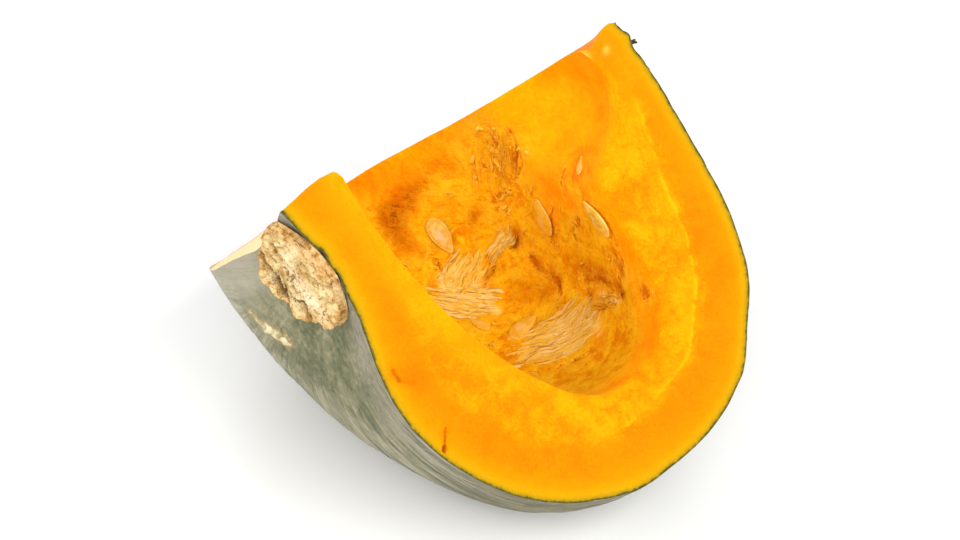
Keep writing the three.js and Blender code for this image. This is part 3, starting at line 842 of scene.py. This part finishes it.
def makeWedge():
    lifts = np.linspace(0, 180, wedge["lifts"] + 1)
    turn, lift = np.meshgrid(np.linspace(0, sweep, wedge["skinTurns"] + 1), lifts, indexing="ij")
    way = sightWay(turn, lift)
    skinSpan = reach(sight, way, skinSide) + skinFit(turn, lift)
    skinSpan = skinSpan + skinRelief(sight + skinSpan[..., None] * way)
    skin = sight + skinSpan[..., None] * way
    turn, lift = np.meshgrid(np.linspace(0, sweep, wedge["wallTurns"] + 1), lifts, indexing="ij")
    inner = sight + wallReach(turn, lift)[..., None] * sightWay(turn, lift)
    for sheet in (skin, inner):     # each row runs into one pole at either end
        sheet[:, 0], sheet[:, -1] = sheet[0, 0], sheet[0, -1]
    rows = np.linspace(0, 1, wedge["faceRows"] + 1)[:, None, None]
    largeFace = skin[0] + (inner[0] - skin[0]) * rows
    secondFace = skin[-1] + (inner[-1] - skin[-1]) * rows
    largeFace[0], largeFace[-1], secondFace[0], secondFace[-1] = skin[0], inner[0], skin[-1], inner[-1]
    largeFace[:, 0], largeFace[:, -1] = secondFace[:, 0], secondFace[:, -1]
    crisp = inner[0].copy()
    largeFace, inner = softened(largeFace, inner, wedge["softRim"] * softShare(lifts))

    # Distance to a curve, from 900 points spread along it.
    def offCurve(points, curve):
        places, known = np.linspace(0, 1, 900), np.linspace(0, 1, len(curve))
        fine = joined(*(np.interp(places, known, axis) for axis in curve.T))
        square = (points**2).sum(1)[:, None] + (fine**2).sum(1) - 2 * points @ fine.T
        return np.sqrt(np.maximum(square.min(1), 0))

    def describe(points):
        turns, lifts, _ = angles(points)
        under = np.minimum(offCurve(points, skin[0]), offCurve(points, skin[-1]))
        rim = np.minimum(offCurve(points, crisp), offCurve(points, inner[-1]))
        zone = [spots(turns, lifts, brownAndShade), spots(turns, lifts, paled), tornShare(turns, lifts)]
        wart = np.max(strokes(points, wedge["warts"], 0.3), axis=0)
        stain = np.max(strokes(points, wedge["stainsAndCreaseShade"]), axis=0)
        glint = np.max([bell(np.linalg.norm(points - at, axis=1), w) for at, w in wedge["glints"]], axis=0)
        worn = bell(under, 9)
        fromLarge = cuts["largeOffset"] - points @ largeNormal
        onSecond = bell(cuts["secondOffset"] - points @ secondNormal, 2) * step(fromLarge, 3, 8)
        # Painted light: the strip of the second cut beside the skin is painted pale cream for the light it
        # catches facing up.
        paleLitStrip = onSecond * (1 - step(lifts, 48, 60)) * (1 - step(offCurve(points, skin[-1]), 4.5, 8))
        # Painted shade: a dark strip on the skin beside the large cut towards the stem end, for the gap by
        # the stem that lies in shade.
        grime = (1 - step(lifts, 22, 44)) * (1 - step(fromLarge, 0.6, 3.2)) * step(-points[:, 2], 30, 36)
        return {
            "under": under, "vein": under - read(lifts, wedge["vein"]), "wall": joined(turns, lifts, rim),
            "zone": np.clip(joined(*zone), 0, 1.2), "crack": np.minimum(offCracks(turns, lifts), 9),
            "fibre": fibreWay(turns, lifts), "streak": skinPlace(points),
            "marks": joined(wart, worn, paleLitStrip),
            "grime": grime, "stain": stain, "glint": glint,
        }

    # Moves the welded points together, so that faces which meet stay joined: the knife's unevenness on
    # both cuts, the raised and notched cut edge, a bevel on the second cut, and nicks.
    def carve(points):
        along, lifts = (points - sight) @ cutEdge, angles(points)[1]
        fromEdge = np.linalg.norm(points - sight - along[:, None] * cutEdge, axis=1)
        deepLarge = cuts["largeOffset"] - points @ largeNormal
        deepSecond = cuts["secondOffset"] - points @ secondNormal
        nearLarge, nearSecond = bell(deepLarge, 3), bell(deepSecond, 3)
        large = relief["largeCut"] * layered(points / 14, 3, 101) * nearLarge
        second = relief["secondCut"] * layered(points / 14, 3, 111) * nearSecond
        second = second + read(points @ acrossView, wedge["secondRise"]) * nearSecond
        second = second + read(along, wedge["edgeRise"]) * bell(fromEdge, 6)
        slope = np.maximum(0, 1 - offCurve(points, skin[-1]) / wedge["bevelWidth"])
        second = second - read(lifts, wedge["bevel"]) * slope
        for nick in strokes(points, wedge["nicks"]):
            large = large - nick * nearLarge
        return points + large[:, None] * largeNormal + second[:, None] * secondNormal

    sheets = [(skin, False, 0), (inner, True, 2), (largeFace, True, 1), (secondFace, False, 1)]
    makePiece(
        "kabochaWedge", sheets, [paintRind(), paintFlesh(), paintWall()],
        ["squash_wedge"], describe, carve, sharp=38,
    )


makeWedge()


print("stage: seeds")

seedGloss = {
    "Subsurface_Weight": 0.2, "Subsurface_Radius": (1, 0.8, 0.4), "Subsurface_Scale": 0.0005,
    "Specular_IOR_Level": 0.25,
}
# sizes in mm of a seed of size 1; "uneven" is the share by which its outline wanders
seedShape = {
    "length": 13.5, "width": 6.4, "thickness": 1.7, "uneven": 0.09, "waves": 0.06, "rings": 22, "steps": 64,
}


def paintSeed():
    paint = Paint("seedCoat")
    place, rim = paint.vector("place"), paint.value("rim")
    cloud = paint.grain(place, 0.35, 3, 0.6, 0.4)
    fine = paint.grain(place, 2.4, 3, 0.6)
    colour = paint.coats(
        paint.ramp(cloud, (0.4, 244, 182, 36), (0.5, 252, 206, 70), (0.6, 260, 224, 120)),
        # Painted highlight: a pale pinkish patch in the middle of each seed.
        (rim.fade(0.1, 0.62) * cloud.step(0.36, 0.52) * 0.85, 252, 216, 164),
        (rim.step(0.6, 0.78) * rim.fade(0.84, 0.92) * 0.45, 284, 172, 14),
        (rim.step(0.88, 0.96) * fine.step(0.4, 0.6) * 0.8, 298, 232, 124),
        (paint.value("film") * (0.2 + cloud * 1.2) * (1 - rim.step(0.84, 0.95) * 0.8), 278, 206, 10),
    )
    return paint.finish(colour, 0.3 + fine * 0.15, paint.bump(fine + cloud, 0.0003, 0.4), **seedGloss)


# A frame on the cavity's even wall: out points away from it, across follows turn, along follows lift.
def wallFrame(turn, lift):
    around = np.array([(turn, lift), (turn + 2, lift), (turn - 2, lift), (turn, lift + 2), (turn, lift - 2)])
    way = sightWay(around[:, 0], around[:, 1])
    at = sight + reach(sight, way, hollowSide)[:, None] * way
    across, along = unit(at[1] - at[2]), unit(at[3] - at[4])
    out = unit(np.cross(across, along))
    out = out * np.sign(out @ (sight - at[0]))
    return at[0], across, np.cross(out, across), out


# A flat oval seed, narrower at one end, from rings between its middle and its rim: each face is nearly
# level, dips into a groove just inside the rim and then rounds over.
def makeSeed(name, turn, lift, roll, off, size, slim, film):
    middle, across, along, out = wallFrame(turn, lift)
    long = np.cos(radians(roll)) * across + np.sin(radians(roll)) * along
    side = unit(np.cross(out, long))
    lean = radians(slim)               # a seed that stands on its edge in the pulp
    side = side * np.cos(lean) + out * np.sin(lean)
    flat = np.cross(long, side)
    flat = flat * np.sign(flat @ out)
    half = seedShape["length"] * size / 2
    wide, thick = seedShape["width"] * size / 2, seedShape["thickness"] * size / 2
    core = middle + out * (thick + off)
    angle = np.linspace(0, 2 * np.pi, seedShape["steps"] + 1)
    angle[-1] = 0
    share = np.linspace(0, 1, seedShape["rings"])[:, None] ** 0.7
    t = np.cos(angle)
    breadth = np.sin(angle) * (1 - 0.28 * t - 0.1 * t**3)
    uneven = 1 + seedShape["uneven"] * noise(joined(1.4 * t, 1.4 * np.sin(angle), lift), 122)
    level = 0.86 - 0.2 * bell(share - 0.8, 0.08) - 0.25 * (share * t) ** 2
    profile = np.sqrt(np.maximum(1 - share**5, 0)) * level
    outline = uneven[:, None] * (half * t[:, None] * long + wide * breadth[:, None] * side)
    flatPart = share[..., None] * outline
    waves = seedShape["waves"] * layered((core + flatPart) / 1.6, 2, 121)
    top = core + flatPart + (thick * profile + waves * (1 - share**6))[..., None] * flat
    bottom = core + flatPart - (thick * profile)[..., None] * flat
    top[-1] = bottom[-1] = (core + flatPart)[-1]
    top[0], bottom[0] = top[0, 0], bottom[0, 0]
    top[:, -1], bottom[:, -1] = top[:, 0], bottom[:, 0]
    rim = np.broadcast_to(share, top.shape[:2]).ravel()
    facing = np.sign(np.cross(long, side) @ flat) > 0
    makePiece(
        name.replace("_", ""), [(top, not facing, 0), (bottom, facing, 0)], [seedPaint], [name],
        own={"rim": np.concatenate([rim, rim]), "film": np.full(2 * len(rim), film)},
    )


seedPaint = paintSeed()
for seedName, seedPlace in seeds.items():
    makeSeed(seedName, *seedPlace)


print("stage: pulp")

# Each lot of pulp: middle on the wall, roll, half length and half width in degrees, number of flat
# strips and of threads, how long they are as shares, how high they arch in mm, how far they curl.
pulp = {
    "pulp_bed": {"at": (54, 95.2), "roll": -44, "half": (8.2, 2.8), "strips": 110, "threads": 50,
                 "long": (0.3, 0.8), "high": (0, 0.18), "curl": 0.3, "pale": 1, "seed": 1},
    "pulp_clump": {"at": (59.2, 98.9), "roll": 70, "half": (5.2, 3.2), "strips": 110, "threads": 60,
                   "long": (0.25, 0.8), "high": (0, 0.22), "curl": 0.4, "pale": 0.9, "seed": 2},
    "pulp_fold": {"at": (56.9, 107.4), "roll": 97, "half": (4.3, 1), "strips": 44, "threads": 24,
                  "long": (0.4, 0.95), "high": (0, 0.7), "curl": 0.4, "pale": 1, "seed": 3},
    "pulp_fan": {"at": (32.4, 101.8), "roll": 124, "half": (10.5, 4.6), "strips": 190, "threads": 100,
                 "long": (0.15, 0.65), "high": (0, 0.2), "curl": 0.45, "pale": 1, "seed": 4},
    "pulp_strand": {"at": (23, 110.9), "roll": 168, "half": (8.5, 1.1), "strips": 16, "threads": 22,
                    "long": (0.25, 0.75), "high": (0, 0.12), "curl": 0.25, "pale": 0.5, "seed": 5},
    "pulp_tuft": {"at": (68.4, 120), "roll": 40, "half": (8.5, 6.4), "strips": 16, "threads": 80,
                  "long": (0.08, 0.36), "high": (0, 0.5), "curl": 1, "pale": 0.4, "seed": 6},
}
scattered = {"at": (48, 105), "roll": 131, "half": (20, 34), "strips": 50, "threads": 120,
             "long": (0.02, 0.08), "high": (0, 0.3), "curl": 0.7, "pale": 0.5, "seed": 7}
# Least and greatest width, then thickness, in mm of a flat strip and of a thread.
tube = {"steps": 22, "sides": 6, "strip": (0.2, 0.75, 0.03, 0.07), "thread": (0.06, 0.14, 0.06, 0.13)}


def paintPulp():
    paint = Paint("pulpFibre")
    tone, along = paint.parts("strand", "XY")
    small = paint.grain(paint.vector("place"), 0.6, 4, 0.65, 0.4)
    fine = paint.grain(paint.vector("strand"), 1, 3, 0.6, 0, (40, 3, 60))
    stops = (0.1, 280, 178, 10), (0.35, 286, 210, 38), (0.65, 288, 234, 92), (0.95, 292, 250, 154)
    colour = paint.coats(
        paint.ramp(tone * 0.8 + small * 0.2, *stops),
        (fine.step(0.5, 0.7) * 0.25, 296, 196, 40),
        ((along * (1 - along)).fade(0.01, 0.14) * 0.7, 304, 190, 6),
    )
    normal = paint.bump(fine + small, 0.0003, 0.5)
    return paint.finish(colour, 0.5 + small * 0.2, normal, Specular_IOR_Level=0.12)


# Strips and threads that follow the wall: each is a path across a patch of turn and lift, which wanders
# sideways with noise, arches off the wall and dips back into it at both ends, made into a flat tube.
def makePulp(name, given, replaced):
    rng = np.random.default_rng(given["seed"])
    count = given["strips"] + given["threads"]
    t = np.linspace(0, 1, tube["steps"])
    halfLong, halfWide = given["half"]
    length = rng.uniform(*given["long"], count) * halfLong
    start = (rng.random(count) + rng.random(count) - 1) * 1.35 * (halfLong - length)
    side = (rng.random(count) + rng.random(count) - 1) * 1.3 * halfWide
    rank = np.arange(count)
    walk = joined(t * 2.3, (rank * 7.7)[:, None], 0)
    curl = given["curl"]
    u = start[:, None] + length[:, None] * (2 * t - 1) + curl * 0.6 * noise(walk, 131)
    v = side[:, None] + curl * noise(walk, 132)
    v = v + rng.uniform(-0.12, 0.12, count)[:, None] * curl * (u - start[:, None])
    roll = radians(given["roll"])
    turn = given["at"][0] + u * np.cos(roll) - v * np.sin(roll)
    lift = given["at"][1] + u * np.sin(roll) + v * np.cos(roll)
    turn = np.clip(turn, 1.2, sweep - 1.2)
    high = rng.uniform(*given["high"], count)[:, None]
    arch = np.sin(np.pi * t) ** 0.6
    back = high * arch * (1 + 0.35 * noise(walk * (1.6, 1, 1), 133)) - 0.5 * (1 - arch)
    paths = wallPoint(turn, lift, back)
    strip = (rank < given["strips"])[:, None]
    sizes = (np.where(strip, *pair) for pair in zip(tube["strip"], tube["thread"]))
    wideLow, wideHigh, thickLow, thickHigh = sizes
    taper = np.sin(np.pi * np.clip(t, 0.03, 0.97)) ** 0.5 * (1 + 0.55 * noise(walk * (4, 1, 1), 134))
    wide = (wideLow + (wideHigh - wideLow) * rng.random((count, 1))) * taper
    thick = (thickLow + (thickHigh - thickLow) * rng.random((count, 1))) * taper
    outs = unit(sight - paths) + 0.06 * rng.normal(size=(count, 1, 3)) * strip[..., None]
    sheets = tubeSheets(paths, outs, wide, thick, tube["sides"])
    tone = np.clip(given["pale"] * rng.uniform(0.45, 1.1, count), 0, 1)
    strand = joined(tone[:, None, None], t, np.linspace(0, 1, tube["sides"] + 1)[:, None]).reshape(-1, 3)
    makePiece(name, sheets, [pulpPaint], replaced, own={"strand": strand})


pulpPaint = paintPulp()
for pulpName, pulpGiven in pulp.items():
    makePulp(pulpName.replace("_", ""), pulpGiven, [pulpName])
makePulp("wallThreads", scattered, [])


print("stage: stem and blossom scar")

stemShape = {
    "middle": (-2.4, 3.9), "radii": (14.6, 12), "twist": 9, "topLevel": -43.4, "topSlope": -0.24,
    # share of the radius and share of the way from the skin to the cut top, from the seat to the middle
    "profile": ((1.03, -0.1), (1.03, 0), (0.99, 0.25), (0.97, 0.55), (0.985, 0.82), (0.96, 0.95), (0.9, 1),
                (0.62, 0.95), (0.3, 0.9), (0, 0.88)),
    "lobes": ((0.03, 3, 20), (0.03, 5, 75), (0.018, 9, 10)),
    # angle, and what share of its oval the stub keeps there
    "outline": (
        (0, 1.05), (30, 1.09), (45, 1.08), (57, 1.05), (72, 1.05), (84, 1.12), (95, 1.17), (106, 1.1),
        (118, 0.96), (128, 0.9), (140, 0.88), (154, 0.95), (175, 1.01), (197, 1), (213, 0.92), (231, 0.88),
        (252, 0.91), (270, 0.94), (280, 1.02), (294, 1.05), (309, 1.06), (329, 1.12), (345, 1.07),
        (360, 1.05),
    ),
    "steps": 240, "sideRows": 34, "topRows": 58,
    # heights and depths in mm of what is all over the stub
    "crumbs": 0.55, "valleys": 1.1, "ridgeRise": 0.9, "mottle": 1.1, "sideCracks": 0.9,
    # furrows in the cut top: two ends in shares of the radii, width and depth in mm
    "furrows": (
        ((0.44, 0.56), (0.62, 0.42), 0.8, 2.2), ((0.62, 0.42), (0.92, 0.4), 1.1, 3.2),
        ((-0.05, 0.5), (0.25, 0.62), 2.4, 0.8), ((0.02, -0.35), (0.2, -0.6), 0.4, 1.6),
        ((0.2, -0.6), (0.42, -0.71), 0.5, 2.2), ((-0.62, 0.66), (0.05, 0.84), 0.7, 2.2),
        ((0.05, 0.84), (0.38, 0.8), 1, 3), ((-0.8, 0.05), (-0.4, 0.3), 0.5, 0.9),
        ((-0.55, -0.2), (-0.1, -0.3), 0.4, 0.7),
    ),
    # angle, half width and depth
    "dents": ((23, 7, 0.7), (62, 5, 0.4), (112, 6, 0.7), (150, 5, 0.4), (290, 6, 0.5)),
    "ridge": ((-0.35, 0), (0.31, 0.04), (0.83, -0.2)), "facet": ((-0.68, -0.5), (-0.29, -0.7), (0.04, -0.8)),
}


# "worn" is how pitted the cork is, whether it is the side, and how much of a ridge (+) or facet (-).
# The pits are painted dark, partly the cork's own colour and partly painted shade in the furrows, dents
# and cracks; the side is painted browner, partly as painted shade; the ridge is painted paler as a
# painted highlight.
def paintCork():
    paint = Paint("stemCork")
    place = paint.vector("place")
    pit, side, ridge = paint.parts("worn", "XYZ")
    cloud = paint.grain(place, 0.16, 4, 0.6, 0.5)
    small = paint.grain(place, 0.7, 4, 0.7, 0.4)
    fine = paint.grain(place, 2.6, 3, 0.7)
    pale = (0.36, 190, 136, 62), (0.46, 246, 206, 132), (0.57, 284, 256, 196)
    brown = (0.4, 212, 142, 66), (0.5, 250, 190, 108), (0.6, 280, 234, 164)
    colour = paint.ramp(cloud * 0.5 + small * 0.5, *pale)
    tan = paint.ramp(small * 0.6 + cloud * 0.4, *brown)
    # Painted shade in part: the side is painted browner than the top; facets are painted tan.
    for share in (side * 0.6, (0 - ridge).step(0.1, 0.9) * 0.8):
        colour = paint.mix(share, colour, tan)
    colour = paint.coats(
        colour,
        # Painted highlight: the raised ridge is painted paler.
        (ridge.step(0.1, 0.9) * small.step(0.36, 0.5) * 0.7, 286, 262, 218),
        ((small * 0.6 + fine * 0.4).fade(0.38, 0.46) * 0.75, 156, 104, 44),
    )
    # Partly painted shade: the pits are painted dark brown.
    olive = (pit + (fine - 0.5) * 2.2 + (small - 0.5) * 1.2).step(0.22, 0.7)
    colour = paint.mix(olive * 0.9, colour, paint.ramp(fine, (0.42, 74, 38, 8), (0.6, 166, 112, 42)))
    normal = paint.bump(small * 1.5 + fine * 0.6, 0.0007, 0.8)
    return paint.finish(colour, 0.85, normal, Specular_IOR_Level=0.1)


# Level of the skin straight below (-1) or above (1) places on the axis plane.
def skinLevel(x, y, sign):
    start = joined(x, y, 0)
    return sign * reach(start, np.broadcast_to([0, 0, sign], start.shape), skinSide)


# True if a closed grid's own normals point into it.
def pointsIn(grid):
    core = grid.reshape(-1, 3).mean(0)
    normals = np.cross(np.gradient(grid, axis=0), np.gradient(grid, axis=1))
    return float(((grid - core) * normals).sum()) < 0


# Moves a grid that is closed round its second direction outwards by an amount at each point, and draws
# its first and last rows into points.
def swollen(grid, amount):
    ring = grid[:, :-1]
    around = np.roll(ring, -1, axis=1) - np.roll(ring, 1, axis=1)
    normals = unit(np.cross(np.gradient(ring, axis=0), around))
    moved = ring + (-amount if pointsIn(grid) else amount)[:, :-1, None] * normals
    grid = np.concatenate([moved, moved[:, :1]], axis=1)
    grid[0], grid[-1] = grid[0].mean(0), grid[-1].mean(0)
    return grid


# The corky stub: a lobed oval carried up its profile from a seat in the dish to a slanted cut top,
# with furrows pressed into the top, cracks down the side and crumbs all over.
def makeStem():
    cx, cy = stemShape["middle"]
    angle = np.linspace(0, 2 * np.pi, stemShape["steps"] + 1)
    lobe = 1 + sum(size * np.cos(count * angle + radians(phase)) for size, count, phase in stemShape["lobes"])
    lobe = lobe * read(np.degrees(angle), stemShape["outline"])
    twist = radians(stemShape["twist"])
    share, rise = np.array(stemShape["profile"]).T
    sideRows, topRows = (stemShape[key] for key in ("sideRows", "topRows"))
    rows = np.concatenate([np.linspace(0, 6, sideRows)[:-1], np.linspace(6, 9, topRows)])
    share, rise = (np.interp(rows, np.arange(len(share)), curve)[:, None] for curve in (share, rise))
    a, b = share * lobe * np.cos(angle), share * lobe * np.sin(angle)
    u, v = stemShape["radii"][0] * a, stemShape["radii"][1] * b
    x = cx + u * np.cos(twist) - v * np.sin(twist)
    y = cy + u * np.sin(twist) + v * np.cos(twist)
    seat = skinLevel(x, y, -1) - 0.3
    top = np.minimum(stemShape["topLevel"] + stemShape["topSlope"] * (y - cy), seat - 1)
    grid = joined(x, y, seat + (top - seat) * rise)
    plan = joined(u, v)
    onTop = step(rows, 5.4, 6.6)[:, None] + 0 * a
    pressed, dark = 0, 0
    for start, end, width, depth in stemShape["furrows"]:
        ends = [np.multiply(place, stemShape["radii"]) for place in (start, end)]
        off = offStretch(plan + 0.5 * noise(grid / 1.7, 141)[..., None], *ends)
        pressed = pressed + depth * bell(off, width)
        dark = np.maximum(dark, bell(off, width * 0.8) * min(1, depth / 2))
    mottle = bell(np.hypot(u, v - 5), 7) * step(noise(grid / 1.1, 142), 0, 0.4)
    crumbs = stemShape["crumbs"] * layered(grid / 2.4, 5, 143)
    crumbs = crumbs - stemShape["valleys"] * onTop * np.abs(noise(grid / 4.2, 145))
    lines = [np.multiply(stemShape[key], stemShape["radii"]) for key in ("ridge", "facet")]
    along = [
        np.max([bell(offStretch(plan, *pair), 2.2) for pair in zip(line, line[1:])], axis=0)
        for line in lines
    ]
    crumbs = crumbs + stemShape["ridgeRise"] * onTop * along[0]
    cracks = np.minimum(0, noise(joined(angle * 9, grid[..., 2] / 9, 0), 144) + 0.15)
    bearing = np.degrees(angle) + 6 * noise(grid / 4, 146)
    dents = sum(
        depth * bell((bearing - at + 180) % 360 - 180, width) for at, width, depth in stemShape["dents"]
    )
    amount = crumbs + onTop * (-pressed - stemShape["mottle"] * mottle)
    amount = amount + (1 - onTop) * (stemShape["sideCracks"] * cracks - dents)
    grid = swollen(grid, amount * step(rows, 0.6, 1.6)[:, None])
    # How dark the cork is painted at furrows, mottle, dents and cracks, partly as painted shade.
    pit = np.clip(onTop * (dark + 0.55 * mottle) + (1 - onTop) * np.maximum(0.5 * dents, -0.7 * cracks), 0, 1)
    # The side, which is painted browner than the top, partly as painted shade.
    side = 1 - step(rows, 5.6, 6.4)[:, None]
    # Ridges (+) are painted paler as a painted highlight; facets (-) are painted tan.
    worn = joined(pit, side, onTop * (along[0] - along[1])).reshape(-1, 3)
    makePiece(
        "stemStub", [(grid, pointsIn(grid), 0)], [paintCork()], ["stem"], own={"worn": worn}
    )


makeStem()

scarShape = {
    "middle": (1.6, -4.4), "radius": 2.1, "height": 3.1, "lean": (0.2, -0.5), "rows": 36, "steps": 48,
    # share of the way up and share of the radius
    "profile": ((0, 1), (0.1, 0.8), (0.2, 0.4), (0.35, 0.24), (0.7, 0.22), (0.88, 0.36), (1, 0)),
}


def paintScar():
    paint = Paint("driedScar")
    small = paint.grain(paint.vector("place"), 1.1, 4, 0.7, 0.5)
    colour = paint.ramp(small, (0.35, 52, 38, 26), (0.5, 98, 76, 52), (0.68, 150, 126, 92))
    return paint.finish(colour, 0.85, paint.bump(small, 0.0006, 0.8), Specular_IOR_Level=0.15)


# The stub that the flower leaves: a ring that narrows and leans as it rises, puckered and frayed at
# the tip.
def makeScar():
    cx, cy = scarShape["middle"]
    angle = np.linspace(0, 2 * np.pi, scarShape["steps"] + 1)
    rise = np.linspace(0, 1, scarShape["rows"])[:, None]
    share = read(rise, scarShape["profile"])
    r = scarShape["radius"] * share * (1 + 0.14 * np.cos(5 * angle) + 0.06 * np.cos(9 * angle + 1))
    x = cx + r * np.cos(angle) + scarShape["lean"][0] * rise
    y = cy + r * np.sin(angle) + scarShape["lean"][1] * rise
    seat = float(skinLevel(np.array(cx), np.array(cy), 1))
    z = seat - 0.3 + (scarShape["height"] + 0.3) * np.minimum(1, rise * 1.1) + 0 * angle
    z = z + 0.3 * np.cos(3 * angle + 0.5) * step(rise, 0.5, 0.85) * (rise < 1)
    grid = joined(x, y, z)
    grid = swollen(grid, 0.16 * layered(grid / 0.8, 3, 151))
    makePiece("blossomStub", [(grid, pointsIn(grid), 0)], [paintScar()], ["blossom_scar"])


makeScar()


print("stage: room")

# Metres, degrees and, for the air, a strength.
studio = {
    "floor": 3, "air": 0.6,
    "lights": {   # place, width, height, strength in watts
        "keyLight": ((0.75, -0.85, 1), 0.8, 0.8, 14.5),
        "frontLight": ((0, -1.2, 0.95), 0.7, 0.7, 10),
        "fillLight": ((-1, -0.35, 0.5), 0.9, 0.9, 8),
        "backLight": ((-0.1, 0.8, 0.9), 0.8, 0.6, 2.5),
    },
    "aim": (0, 0, 0.05),
    "camera": (0.00073, -1.03708, 0.86302), "elevation": 38, "lens": 192.6, "sensor": 36,
}


def makeRoom():
    paint = Paint("floorPaint")
    cloud = paint.grain(paint.add("TexCoord", output="Object"), 3)
    colour = paint.mix(cloud, (0.84, 0.84, 0.83, 1), (0.86, 0.86, 0.85, 1))
    paint.finish(colour, 0.9, paint.bump(cloud, 0.0001), Specular_IOR_Level=0.1)
    angle = np.linspace(0, 2 * np.pi, 65)[:-1]
    ring = joined(np.cos(angle), np.sin(angle), 0) * studio["floor"]
    mesh = bpy.data.meshes.new("floor")
    mesh.from_pydata(ring, [], [list(range(len(ring)))])
    mesh.materials.append(paint.material)
    floor = placed("floor", mesh)

    world = bpy.data.worlds.new("studioAir")
    world.use_nodes = True
    air = world.node_tree.nodes["Background"]
    air.inputs["Color"].default_value = (1, 1, 1, 1)
    air.inputs["Strength"].default_value = studio["air"]
    bpy.context.scene.world = world

    for name, (place, width, height, power) in studio["lights"].items():
        lamp = bpy.data.lights.new(name, "AREA")
        lamp.shape, lamp.size, lamp.size_y, lamp.energy = "RECTANGLE", width, height, power
        light = placed(name, lamp)
        light.location = place
        way = light.location - type(light.location)(studio["aim"])
        light.rotation_euler = way.to_track_quat("Z", "Y").to_euler()

    lens = bpy.data.cameras.new("camera")
    lens.lens, lens.sensor_width = studio["lens"], studio["sensor"]
    camera = placed("camera", lens)
    camera.location = studio["camera"]
    camera.rotation_euler = (radians(90 - studio["elevation"]), 0, 0)
    bpy.context.scene.camera = camera


makeRoom()
